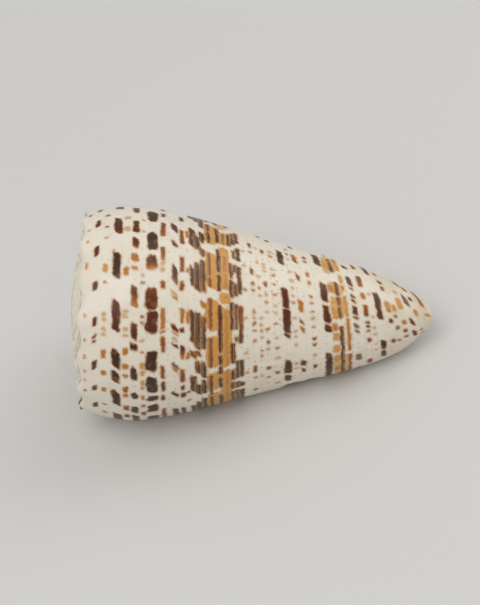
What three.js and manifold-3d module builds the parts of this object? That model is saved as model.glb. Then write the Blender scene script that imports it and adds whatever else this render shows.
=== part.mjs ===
// An adult cone shell, grown as one piece: a coronated spire, a conical body whorl
// and a narrow aperture that runs the whole length of the shell.
// Millimetres. The shell lies on its aperture side on the plane Z = 0, apex towards -X.
import * as THREE from "three";
import Module from "manifold-3d";

const LENGTH = 75; // apex to anterior tip
const TURNS = 8; // turns from the nucleus to the lip
const GROWTH_POWER = 1.5; // how the radius falls back along the spiral
const SPIRE_POWER = 1.3; // how the height of the spire falls back along the spiral
const SHOULDER_DEPTH = 3.4; // last shoulder below the apex

// Side of the last whorl: [share of the way from shoulder to tip, radius].
const SIDE = [
  [0, 21.7],
  [0.03, 22.3],
  [0.08, 23.1],
  [0.16, 23.5],
  [0.3, 21.6],
  [0.45, 18.5],
  [0.6, 15.4],
  [0.75, 12.4],
  [0.87, 9.5],
  [0.95, 6.7],
  [1, 3.4],
];

// Where the anterior end lies along the axis: [turns back from the lip, distance from the apex].
const ANTERIOR = [
  [-0.2, 71.5],
  [0, 73.2],
  [0.28, LENGTH],
  [0.55, 73.6],
  [1, 70],
  [1.5, 66],
  [2, 62],
];
const COLUMELLA_WAIST = 0.45; // how much the anterior end narrows one turn back
const WAIST_SHARE = 0.8; // share of the side where it starts to narrow
const WAIST_TURNS = 0.3; // turns back where it starts to narrow
const COLUMELLA_END = 69; // where the anterior end closes on the axis
const FINEST = 0.015; // detail smaller than this is left out

const TUBERCLES_PER_TURN = 15.65;
const TUBERCLE_RISE = 0.75; // towards the apex
const TUBERCLE_SWELL = 0.35; // outwards
const TUBERCLE_SHARE = 0.06; // share of the side that the tubercles reach down
const RAMP_SINK = 0.85; // suture below the crest of the whorl before it
const EDGE_DROP = 0.45; // outer edge of the shoulder below its crest

const LIP_WALL = 0.8; // at the edge of the lip
const BODY_WALL = 2; // over the last turn
const INNER_WALL = 1.2; // between the turns inside, which the animal thins as it grows
const WALL_GROWTH = 0.15; // turns over which the lip thickens
const GLAZE = 0.08; // layer laid on the whorl before it
const FRONT_THINNING = 0.55; // wall at the anterior end, as a share of the wall
const LEAST_GAP = 0.4; // between the floor and the roof of the cavity
const FRONT_CORE = 0.3; // radius left round the axis in front of the columella
const CAVITY_TURNS = 1.8; // how far back the cavity goes
const CAVITY_TAPER = 0.3; // turns over which it closes
const CAVITY_INSET = 0.3; // more wall behind the shoulder than over the side
const CANAL_TURNS = 0.3; // the anterior end stays open this far back
const CANAL_TAPER = 0.12; // turns over which it closes
const CANAL_DEPTH = 14; // how far behind the anterior end the closed cavity stops
const PAST_THE_LIP = 0.02; // turns by which the cavity starts in front of the lip
const PAST_THE_FRONT = 2; // and by which it goes past the anterior end

const LIP_ANGLE = 190; // degrees about the axis from +Y, dorsal side at 90
const REST_ROLL = 45.1; // degrees about the axis that bring the lip and the aperture side down
const REST_TILT = 13.6; // degrees that lay the sloping side on the floor

const APEX_X = 0;
const SPIRE_TURNS = [5, 4, 3, 2, 1]; // the turns before the last one, first to last
const STEPS = 74; // round one turn
const CAVITY_STEPS = 84;
const CAVITY_ROWS = 9;
const SIDE_ROWS = [0.012, 0.03, 0.06, 0.1, 0.16, 0.25, 0.35, 0.47, 0.6, 0.72, 0.82, 0.9, 0.96, 1];

// A smooth curve through a list of [x, y] keys.
function through(keys, x) {
  const last = keys.length - 2;
  let i = 0;
  while (i < last && x > keys[i + 1][0]) i++;
  const slope = (a, b) => (b[1] - a[1]) / (b[0] - a[0]);
  const own = slope(keys[i], keys[i + 1]);
  const before = i > 0 ? slope(keys[i - 1], keys[i + 1]) : own;
  const after = i < last ? slope(keys[i], keys[i + 2]) : own;
  const span = keys[i + 1][0] - keys[i][0];
  const u = THREE.MathUtils.clamp((x - keys[i][0]) / span, 0, 1);
  const v = 1 - u;
  const ends = keys[i][1] * v * v * (1 + 2 * u) + keys[i + 1][1] * u * u * (1 + 2 * v);
  return ends + span * u * v * (before * v - after * u);
}

// Size of the whorl, as a share of its size at the lip. `t` is turns back from the lip.
function growth(t) {
  return Math.max(1 - t / TURNS, 1e-4) ** GROWTH_POWER;
}

function shoulderX(t) {
  return SHOULDER_DEPTH * growth(t) ** SPIRE_POWER;
}

function anteriorX(t) {
  return through(ANTERIOR, t);
}

// Outer radius of the side at turn `t`, at a share `s` of the way to the tip.
function sideRadius(s, t) {
  const back = (t - WAIST_TURNS) / (1 - WAIST_TURNS);
  const waist = COLUMELLA_WAIST * THREE.MathUtils.clamp(back, 0, 1.3);
  const near = THREE.MathUtils.smoothstep(s, WAIST_SHARE, 1);
  return growth(t) * through(SIDE, s) * (1 - waist * near);
}

// Height of the row of tubercles at turn `t`, from 0 between two of them to 1 on top.
function tubercle(t) {
  return (0.5 + 0.5 * Math.cos(2 * Math.PI * TUBERCLES_PER_TURN * t)) ** 1.5;
}

// The ramp from the suture out over the crest of the shoulder, as [x, radius] points.
function rampPoints(t) {
  const inner = growth(t + 1) * SIDE[0][1];
  const outer = growth(t) * SIDE[0][1];
  const suture = shoulderX(t + 1) + RAMP_SINK * growth(t);
  const rise = tubercle(t) * growth(t);
  const crest = shoulderX(t) - TUBERCLE_RISE * rise;
  const across = (u) => THREE.MathUtils.lerp(inner, outer, u);
  const down = (u) => THREE.MathUtils.lerp(suture, crest, u);
  return [
    [suture, across(0.02)],
    [down(0.2), across(0.42)],
    [down(0.8), across(0.72)],
    [crest, across(0.9) + TUBERCLE_SWELL * rise * 0.5],
    [down(0.7) + EDGE_DROP * growth(t), outer + TUBERCLE_SWELL * rise],
  ];
}

// The side of the whorl from just below the crest, as [x, radius] points.
function sidePoints(t, shares) {
  const start = shoulderX(t);
  const end = anteriorX(t);
  return shares.map((s) => {
    const swell = TUBERCLE_SWELL * tubercle(t) * growth(t) * Math.max(1 - s / TUBERCLE_SHARE, 0);
    return [THREE.MathUtils.lerp(start, end, s), sideRadius(s, t) + swell];
  });
}

function onSpiral([x, radius], t) {
  const angle = THREE.MathUtils.degToRad(LIP_ANGLE - 360 * t);
  return new THREE.Vector3(x, radius * Math.cos(angle), radius * Math.sin(angle));
}

// The shell without its cavity, swept forward through one turn that carries the spire's
// turns along with it: the end of each turn of the spire is the start of the next one.
function solidGeometry() {
  const outline = (t) => [
    ...SPIRE_TURNS.flatMap((turn) => rampPoints(t + turn)),
    ...rampPoints(t),
    ...sidePoints(t, SIDE_ROWS),
  ];
  const ramp = rampPoints(0).length;
  const spire = SPIRE_TURNS.length * ramp;
  const rows = outline(0).length;
  const [apex, anterior, first] = [0, 1, 2];
  const lip = first + STEPS * rows - spire;
  const at = (i, j) => {
    if (i < STEPS) return first + i * rows + j;
    return j < spire ? first + j + ramp : lip + j;
  };
  const positions = [APEX_X, 0, 0, COLUMELLA_END, 0, 0];
  for (let i = 0; i < STEPS; i++) {
    const t = 1 - i / STEPS;
    outline(t).forEach((point) => positions.push(...onSpiral(point, t)));
  }
  outline(0).slice(spire).forEach((point) => positions.push(...onSpiral(point, 0)));
  const indices = [];
  for (let i = 0; i < STEPS; i++) {
    indices.push(apex, at(i + 1, 0), at(i, 0));
    indices.push(anterior, at(i, rows - 1), at(i + 1, rows - 1));
    for (let j = 0; j < rows - 1; j++) {
      indices.push(at(i, j), at(i + 1, j + 1), at(i, j + 1));
      indices.push(at(i, j), at(i + 1, j), at(i + 1, j + 1));
    }
  }
  // The radial face where the first turn starts.
  for (let j = 0; j < ramp; j++) indices.push(apex, first + j, first + j + 1);
  // The radial face of the lip, from the last outline in to the side of the turn before it.
  const under = first + spire + ramp;
  const over = lip + spire + ramp;
  for (let j = -1; j < ramp; j++) {
    const from = j < 0 ? under - 1 : lip + spire + j;
    indices.push(under, lip + spire + j + 1, from);
  }
  for (let j = 0; j < SIDE_ROWS.length - 1; j++) {
    indices.push(under + j, over + j + 1, over + j);
    indices.push(under + j, under + j + 1, over + j + 1);
  }
  indices.push(under + SIDE_ROWS.length - 1, anterior, over + SIDE_ROWS.length - 1);
  return indexed(positions, indices);
}

// Floor and roof of the cavity at turn `t`: pairs of [x, radius] points along the shell.
function cavityPairs(t) {
  const { lerp, smoothstep } = THREE.MathUtils;
  const taper = smoothstep(t, CAVITY_TURNS - CAVITY_TAPER, CAVITY_TURNS);
  const outer = lerp(LIP_WALL, BODY_WALL, smoothstep(t, 0, WALL_GROWTH));
  const wall = lerp(outer, INNER_WALL, smoothstep(t, 0.8, 1.1));
  const closing = smoothstep(t, CANAL_TURNS, CANAL_TURNS + CANAL_TAPER);
  const start = shoulderX(t) + wall * 0.9 + CAVITY_INSET;
  const end = lerp(LENGTH + PAST_THE_FRONT, anteriorX(t) - CANAL_DEPTH, closing);
  const share = (x, turn) => (x - shoulderX(turn)) / (anteriorX(turn) - shoulderX(turn));
  const pairs = [];
  for (let j = 0; j <= CAVITY_ROWS; j++) {
    const u = j / CAVITY_ROWS;
    const x = lerp(start, end, 1 - (1 - u) ** 1.6);
    const inner = share(x, t + 1);
    const outside = Math.min(share(x, t), 1);
    const floor = inner > 1 ? FRONT_CORE : sideRadius(inner, t + 1) + GLAZE;
    const roof = sideRadius(outside, t) - wall * lerp(1, FRONT_THINNING, outside);
    const clear = Math.max(roof, floor + LEAST_GAP);
    pairs.push([[x, floor], [x, lerp(clear, floor + LEAST_GAP / 4, taper)]]);
  }
  return pairs;
}

// The cavity starts a little in front of the lip, so that it opens there.
function cavityGeometry() {
  const positions = [];
  const indices = [];
  const ring = 2 * (CAVITY_ROWS + 1);
  for (let i = 0; i <= CAVITY_STEPS; i++) {
    const t = THREE.MathUtils.lerp(CAVITY_TURNS, -PAST_THE_LIP, i / CAVITY_STEPS);
    const pairs = cavityPairs(Math.max(t, 0));
    const floor = pairs.map((pair) => pair[0]);
    const roof = pairs.map((pair) => pair[1]).reverse();
    [...roof, ...floor].reverse().forEach((point) => positions.push(...onSpiral(point, t)));
  }
  for (let i = 0; i < CAVITY_STEPS; i++) {
    for (let j = 0; j < ring; j++) {
      const a = i * ring + j;
      const b = i * ring + ((j + 1) % ring);
      indices.push(a, b + ring, b, a, a + ring, b + ring);
    }
  }
  for (let j = 0; j < CAVITY_ROWS; j++) {
    const last = CAVITY_STEPS * ring;
    const far = ring - 1 - j;
    indices.push(j, j + 1, far, j + 1, far - 1, far);
    indices.push(last + j, last + far, last + j + 1, last + j + 1, last + far, last + far - 1);
  }
  return indexed(positions, indices);
}

function indexed(positions, indices) {
  const geometry = new THREE.BufferGeometry();
  geometry.setAttribute("position", new THREE.Float32BufferAttribute(positions, 3));
  geometry.setIndex(indices);
  return geometry;
}

function toSolid(wasm, geometry) {
  const mesh = new wasm.Mesh({
    numProp: 3,
    vertProperties: geometry.getAttribute("position").array,
    triVerts: new Uint32Array(geometry.getIndex().array),
  });
  return new wasm.Manifold(mesh);
}

function toGeometry(solid) {
  const mesh = solid.getMesh();
  return indexed(mesh.vertProperties, [...mesh.triVerts]);
}

const wasm = await Module();
wasm.setup();

const whole = toSolid(wasm, solidGeometry());
const hollow = whole.subtract(toSolid(wasm, cavityGeometry())).simplify(FINEST);
const shell = new THREE.Mesh(
  toGeometry(hollow),
  new THREE.MeshStandardMaterial({ color: 0xdccfba, roughness: 0.35, metalness: 0 }),
);
shell.name = "shell";
shell.rotation.order = "YXZ";
shell.rotation.x = THREE.MathUtils.degToRad(REST_ROLL);
shell.rotation.y = THREE.MathUtils.degToRad(REST_TILT);

// The origin is under the middle of the shell's box.
const part = new THREE.Group();
part.add(shell);
const box = new THREE.Box3().setFromObject(part, true);
const middle = box.getCenter(new THREE.Vector3());
shell.position.set(-middle.x, -middle.y, -box.min.z);

export default part;
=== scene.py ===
"""An adult cone shell: a coronated spire, a conical body whorl and a long narrow aperture.

The shell is one grown piece. Its surface is a sheet wrapped along the shell's own growth
spiral, hollowed along the same spiral and marked in rows that follow the growth.
"""

import logging
import math
from dataclasses import dataclass, field
from enum import Enum

import bpy
import numpy as np
from mathutils import Matrix, Vector

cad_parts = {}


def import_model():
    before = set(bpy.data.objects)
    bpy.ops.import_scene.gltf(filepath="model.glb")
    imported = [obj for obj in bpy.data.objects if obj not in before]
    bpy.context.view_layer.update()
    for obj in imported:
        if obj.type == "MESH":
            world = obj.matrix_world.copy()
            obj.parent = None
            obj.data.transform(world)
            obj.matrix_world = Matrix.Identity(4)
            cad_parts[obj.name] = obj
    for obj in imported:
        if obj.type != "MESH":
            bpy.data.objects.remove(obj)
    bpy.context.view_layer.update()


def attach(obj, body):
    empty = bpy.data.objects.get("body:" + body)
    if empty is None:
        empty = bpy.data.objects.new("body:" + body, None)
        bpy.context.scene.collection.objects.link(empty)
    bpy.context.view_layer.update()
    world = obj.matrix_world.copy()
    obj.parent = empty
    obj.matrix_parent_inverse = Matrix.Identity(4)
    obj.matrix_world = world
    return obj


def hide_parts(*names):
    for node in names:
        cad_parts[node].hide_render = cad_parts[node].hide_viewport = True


Array = np.ndarray
Socket = bpy.types.NodeSocket
Value = float | tuple | Socket | None

LOG = logging.getLogger("cone_shell")
MM = 0.001
LENGTH = 75.0  # apex to front end, in millimetres
TURN = 360.0  # degrees
REACH_SPAN = 120.0  # degrees along a row that make a whole 1 of a mark's reach
NUMBER, COLOUR = "NodeSocketFloat", "NodeSocketColor"


def through(keys: tuple[tuple[float, float], ...], x: Array) -> Array:
    """Follows a smooth curve through a few points.

    Args:
        keys: the points, as (x, y) pairs in rising x.
        x: where to read the curve.

    Returns:
        The curve's height at each x.
    """
    kx, ky = (np.array(column, float) for column in zip(*keys))
    x = np.asarray(x, float)
    i = np.clip(np.searchsorted(kx, x) - 1, 0, len(kx) - 2)
    span = kx[i + 1] - kx[i]
    own = (ky[i + 1] - ky[i]) / span
    low, high = np.maximum(i - 1, 0), np.minimum(i + 2, len(kx) - 1)
    before = np.where(i > 0, (ky[i + 1] - ky[low]) / (kx[i + 1] - kx[low]), own)
    after = np.where(i < len(kx) - 2, (ky[high] - ky[i]) / (kx[high] - kx[i]), own)
    u = np.clip((x - kx[i]) / span, 0, 1)
    v = 1 - u
    ends = ky[i] * v * v * (1 + 2 * u) + ky[i + 1] * u * u * (1 + 2 * v)
    return ends + span * u * v * (before * v - after * u)


def ease(x: Array, low: float, high: float) -> Array:
    """Rises smoothly from 0 at low to 1 at high."""
    u = np.clip((np.asarray(x, float) - low) / (high - low), 0, 1)
    return u * u * (3 - 2 * u)


def hump(x: Array, centre: float, half: float, power: int) -> Array:
    """Stands 1 high at the centre and falls away to either side, steeper for a higher power."""
    return np.exp(-(((x - centre) / half) ** power))


@dataclass(frozen=True)
class Growth:
    """How the shell grows along its spiral. Millimetres, apex at x = 0, axis along x.

    A place on the spiral is `t`, the turns back from the lip.
    """

    length: float = LENGTH
    turns: float = 8.0
    power: float = 1.5
    spire_power: float = 1.3
    shoulder_depth: float = 3.4
    side: tuple = (
        (0, 21.7), (0.03, 22.3), (0.08, 23.1), (0.16, 23.5), (0.3, 21.6), (0.45, 18.5),
        (0.6, 15.4), (0.75, 12.4), (0.87, 9.5), (0.95, 6.7), (1, 3.4),
    )
    anterior: tuple = (
        (-0.2, 71.5), (0, 73.2), (0.28, 75), (0.55, 73.6), (1, 70), (1.5, 66), (2, 62),
    )
    waist: float = 0.45
    waist_share: float = 0.8
    waist_turns: float = 0.3
    tubercles: float = 15.65
    tubercle_rise: float = 0.85
    tubercle_swell: float = 0.4
    tubercle_share: float = 0.06
    tubercle_power: float = 1.5
    ramp_sink: float = 0.85
    edge_drop: float = 0.45

    def size(self, t: Array) -> Array:
        """Gives the size of the whorl at `t` as a share of its size at the lip."""
        return np.maximum(1 - np.asarray(t, float) / self.turns, 1e-4) ** self.power

    def shoulder(self, t: Array) -> Array:
        """Gives the shoulder's place along the axis."""
        return self.shoulder_depth * self.size(t) ** self.spire_power

    def front(self, t: Array) -> Array:
        """Gives the anterior end's place along the axis."""
        return through(self.anterior, t)

    def share(self, x: Array, t: Array) -> Array:
        """Gives how far x lies from shoulder to anterior end, as a share."""
        return (x - self.shoulder(t)) / (self.front(t) - self.shoulder(t))

    def radius(self, s: Array, t: Array) -> Array:
        """Gives the outer radius of the side.

        Args:
            s: share of the way from the shoulder to the anterior end.
            t: turns back from the lip.

        Returns:
            The radius about the axis.
        """
        back = (t - self.waist_turns) / (1 - self.waist_turns)
        waist = self.waist * np.clip(back, 0, 1.3)
        return self.size(t) * through(self.side, s) * (1 - waist * ease(s, self.waist_share, 1))

    def knob(self, t: Array) -> Array:
        """Gives the height of the row of tubercles, 0 between two of them and 1 on top."""
        wave = 0.5 + 0.5 * np.cos(2 * math.pi * self.tubercles * np.asarray(t, float))
        return wave**self.tubercle_power

    def swell(self, s: Array, t: Array) -> Array:
        """Gives how far the tubercles stand out at the top of the side."""
        fade = np.maximum(1 - s / self.tubercle_share, 0)
        return self.tubercle_swell * self.knob(t) * self.size(t) * fade

    def ramp(self, q: float, t: Array) -> tuple[Array, Array]:
        """Follows the ramp from the suture out over the crest of the shoulder.

        Args:
            q: share of the way from the suture to the outer edge.
            t: turns back from the lip.

        Returns:
            The place along the axis and the radius.
        """
        size = self.size(t)
        inner = self.size(t + 1) * self.side[0][1]
        outer = size * self.side[0][1]
        suture = self.shoulder(t + 1) + self.ramp_sink * size
        rise = self.knob(t) * size
        crest = self.shoulder(t) - self.tubercle_rise * rise
        edge = suture + 0.7 * (crest - suture) + self.edge_drop * size
        places = (
            (suture, inner + 0.02 * (outer - inner)),
            (suture + 0.2 * (crest - suture), inner + 0.42 * (outer - inner)),
            (suture + 0.8 * (crest - suture), inner + 0.72 * (outer - inner)),
            (crest, inner + 0.9 * (outer - inner) + 0.5 * self.tubercle_swell * rise),
            (edge, outer + self.tubercle_swell * rise),
        )
        last = len(places) - 1
        i = min(int(q * last), last - 1)
        before, after = max(i - 1, 0), min(i + 2, last)
        u = q * last - i
        v = 1 - u
        result = []
        for axis in (0, 1):
            a, b = places[i][axis], places[i + 1][axis]
            start = (b - places[before][axis]) / (i + 1 - before)
            end = (places[after][axis] - a) / (after - i)
            curve = a * v * v * (1 + 2 * u) + b * u * u * (1 + 2 * v)
            result.append(curve + u * v * (start * v - end * u))
        return result[0], result[1]


@dataclass(frozen=True)
class Rest:
    """How the shell lies: on its lip and the swell of its aperture side. Degrees."""

    lip_angle: float = 190.0
    roll: float = 45.1
    tilt: float = 13.6

    def turn(self) -> Matrix:
        """Gives the turn from the shell's own axis to how it lies."""
        roll = Matrix.Rotation(math.radians(self.roll), 4, "X")
        return Matrix.Rotation(math.radians(self.tilt), 4, "Y") @ roll

    def angle(self, t: Array) -> Array:
        """Gives the angle about the axis in radians, from +Y towards +Z."""
        return np.radians(self.lip_angle - TURN * np.asarray(t, float))


@dataclass(frozen=True)
class LipWear:
    """The lip's edge: its notch at the shoulder, its waves and the two chips in it.

    A chip is (place along the axis, half width, size). Its size is in turns where it takes
    the edge back, and in millimetres where it dents the outer layer.
    """

    notch: float = 0.03
    notch_ends: tuple = (3.0, 9.0)
    front: float = 0.03
    front_ends: tuple = (66.0, 74.0)
    waves: tuple = ((0.002, 0.9, 0.0), (0.0014, 2.3, 1.0))
    chips: tuple = ((46.8, 1.3, 0.020), (50.4, 0.9, 0.012))
    dents: tuple = ((47.0, 1.6, 0.75), (50.6, 1.2, 0.5))
    dent_ends: tuple = (0.045, 0.065)
    chip_power: int = 4

    def lag(self, x: Array) -> Array:
        """Gives how far the lip's edge stays back.

        Args:
            x: place along the axis, in millimetres.

        Returns:
            The lag in turns.
        """
        notch = self.notch * (1 - ease(x, *self.notch_ends))
        front = self.front * ease(x, *self.front_ends)
        wave = sum(high * np.sin(x * pace + start) for high, pace, start in self.waves)
        chip = sum(size * hump(x, at, half, self.chip_power) for at, half, size in self.chips)
        return notch + front + wave + chip

    def dent(self, x: Array, t: Array) -> Array:
        """Gives how deep the outer layer is broken away behind the edge, in millimetres."""
        deep = sum(size * hump(x, at, half, self.chip_power) for at, half, size in self.dents)
        return deep * (1 - ease(t, *self.dent_ends))


@dataclass(frozen=True)
class Ridges:
    """The slow swells and growth ridges of the side. Millimetres high, degrees from the lip."""

    swells: tuple = ((0.10, 3.1, 40.0), (0.06, 7.3, 0.0))
    ridges: tuple = ((58.0, 1.6, 0.09), (139.0, 1.8, 0.07))
    band: float = 0.05
    band_pace: float = 22.0
    smooth_top: float = 0.06
    smooth_front: float = 0.85

    def height(self, s: Array, t: Array) -> Array:
        """Gives how far the side stands out.

        Args:
            s: share of the way from the shoulder to the anterior end.
            t: turns back from the lip.

        Returns:
            The height in millimetres.
        """
        back = np.asarray(t, float) * TURN
        swell = sum(high * np.sin(np.radians(back * pace + start)) for high, pace, start in self.swells)
        ridge = sum(high * hump(back, at, half, 2) for at, half, high in self.ridges)
        band = self.band * np.sin(s * self.band_pace + 0.6) * np.sin(np.radians(back * 1.7 + 20))
        fade = 1 - 0.6 * ease(s, self.smooth_front, 1)
        return (swell + ridge + band) * ease(s, 0.0, self.smooth_top) * fade


@dataclass(frozen=True)
class Hollow:
    """The space inside the shell, along the growth spiral. Millimetres and turns."""

    lip_wall: float = 0.8
    body_wall: float = 2.0
    inner_wall: float = 1.2
    thickening: tuple = (0.0, 0.15)
    thinning: tuple = (0.8, 1.1)
    front_thinning: float = 0.45
    flare: float = 0.3
    flare_turns: float = 0.006
    glaze: float = 0.08
    turns: float = 1.6
    taper: float = 0.3
    canal_turns: float = 0.3
    canal_taper: float = 0.12
    canal_depth: float = 14.0
    past_front: float = 2.0
    inset: float = 0.3
    lip_rise: float = 1.6
    lip_rise_turns: float = 0.05
    front_core: float = 0.3
    core_ends: tuple = (0.985, 1.015)
    least_gap: float = 0.4
    end_gap: float = 0.1
    crowding: float = 1.6
    rows: int = 44
    steps: int = 210
    lip_places: tuple = (0.004, 0.0025, 0.001, 0.0)
    past_lip: float = 0.02

    def outline(self, growth: Growth, t: Array) -> tuple[Array, Array]:
        """Gives closed outlines of the hollow: out along its floor and back under its roof.

        Args:
            growth: how the shell grows.
            t: turns back from the lip, one for each outline.

        Returns:
            Two arrays [outline, row]: place along the axis and radius.
        """
        taper = ease(t, self.turns - self.taper, self.turns)
        wall = self.lip_wall + (self.body_wall - self.lip_wall) * ease(t, *self.thickening)
        wall = wall + (self.inner_wall - wall) * ease(t, *self.thinning)
        flare = self.flare * (1 - ease(t, 0.0, self.flare_turns))
        closing = ease(t, self.canal_turns, self.canal_turns + self.canal_taper)
        rise = self.lip_rise * (1 - ease(t, 0.0, self.lip_rise_turns))
        start = growth.shoulder(t) + wall * 0.9 + self.inset - rise
        closed_end = growth.front(t) - self.canal_depth
        end = (growth.length + self.past_front) * (1 - closing) + closed_end * closing
        floor, roof = [], []
        for row in range(self.rows + 1):
            u = row / self.rows
            x = start + (end - start) * (1 - (1 - u) ** self.crowding)
            inner, outer = growth.share(x, t + 1), np.clip(growth.share(x, t), 0, 1)
            low = growth.radius(np.clip(inner, 0, 1), t + 1) + self.glaze
            core = ease(inner, *self.core_ends)
            low = low * (1 - core) + self.front_core * core
            high = growth.radius(outer, t) - (wall - flare) * (1 - self.front_thinning * outer)
            high = np.maximum(high, low + self.least_gap)
            floor.append((x, low))
            roof.append((x, high + (low + self.end_gap - high) * taper))
        pairs = floor + roof[::-1] + floor[:1]
        return np.stack([p[0] for p in pairs], -1), np.stack([p[1] for p in pairs], -1)

    def places(self) -> Array:
        """Gives the turns at which the hollow has an outline, the last just past the lip."""
        back = np.linspace(self.turns, self.flare_turns, self.steps - len(self.lip_places) - 1)
        return np.concatenate([back, self.lip_places, [-self.past_lip]])


@dataclass
class SheetTool:
    """Makes closed pieces out of a flat sheet, as a potter would from a slab."""

    name: str
    across: int
    along: int

    def cut(self) -> bpy.types.Object:
        """Adds the flat sheet as a grid.

        Returns:
            The new object, alone in the selection.
        """
        bpy.ops.object.select_all(action="DESELECT")
        bpy.ops.mesh.primitive_grid_add(x_subdivisions=self.along, y_subdivisions=self.across, size=1)
        sheet = bpy.context.active_object
        sheet.name = self.name
        return sheet

    def places(self, sheet: bpy.types.Object) -> tuple[Array, Array]:
        """Numbers the sheet's corners.

        Args:
            sheet: the flat sheet.

        Returns:
            Each corner's steps along the sheet and across it.
        """
        mesh = sheet.data
        co = np.empty(len(mesh.vertices) * 3)
        mesh.vertices.foreach_get("co", co)
        co = co.reshape(-1, 3)
        along = np.rint((co[:, 0] + 0.5) * self.along).astype(int)
        return along, np.rint((co[:, 1] + 0.5) * self.across).astype(int)

    def wrap(self, sheet: bpy.types.Object, points: Array, marks: Array) -> None:
        """Bends the sheet to its shape and lays the marking map on it.

        Args:
            sheet: the flat sheet.
            points: [along, across, 3] places in millimetres.
            marks: [along, across, 2] marking coordinates.
        """
        i, j = self.places(sheet)
        mesh = sheet.data
        mesh.vertices.foreach_set("co", (points[i, j] * MM).ravel())
        corner = np.empty(len(mesh.loops), int)
        mesh.loops.foreach_get("vertex_index", corner)
        layer = mesh.uv_layers.active
        layer.name = "Spiral"
        layer.data.foreach_set("uv", marks[i, j][corner].ravel())
        mesh.update()

    def close(self) -> None:
        """Joins the sheet's edges where they meet and turns its faces outwards."""
        bpy.ops.object.mode_set(mode="EDIT")
        bpy.ops.mesh.select_all(action="SELECT")
        bpy.ops.mesh.remove_doubles(threshold=0.004 * MM)
        bpy.ops.mesh.fill_holes(sides=0)
        bpy.ops.mesh.normals_make_consistent(inside=False)
        bpy.ops.object.mode_set(mode="OBJECT")

    def make(self, points: Array, marks: Array) -> bpy.types.Object:
        """Cuts, wraps and closes a sheet.

        Args:
            points: [along, across, 3] places in millimetres.
            marks: [along, across, 2] marking coordinates.

        Returns:
            The closed piece.
        """
        sheet = self.cut()
        self.wrap(sheet, points, marks)
        self.close()
        return sheet


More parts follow.
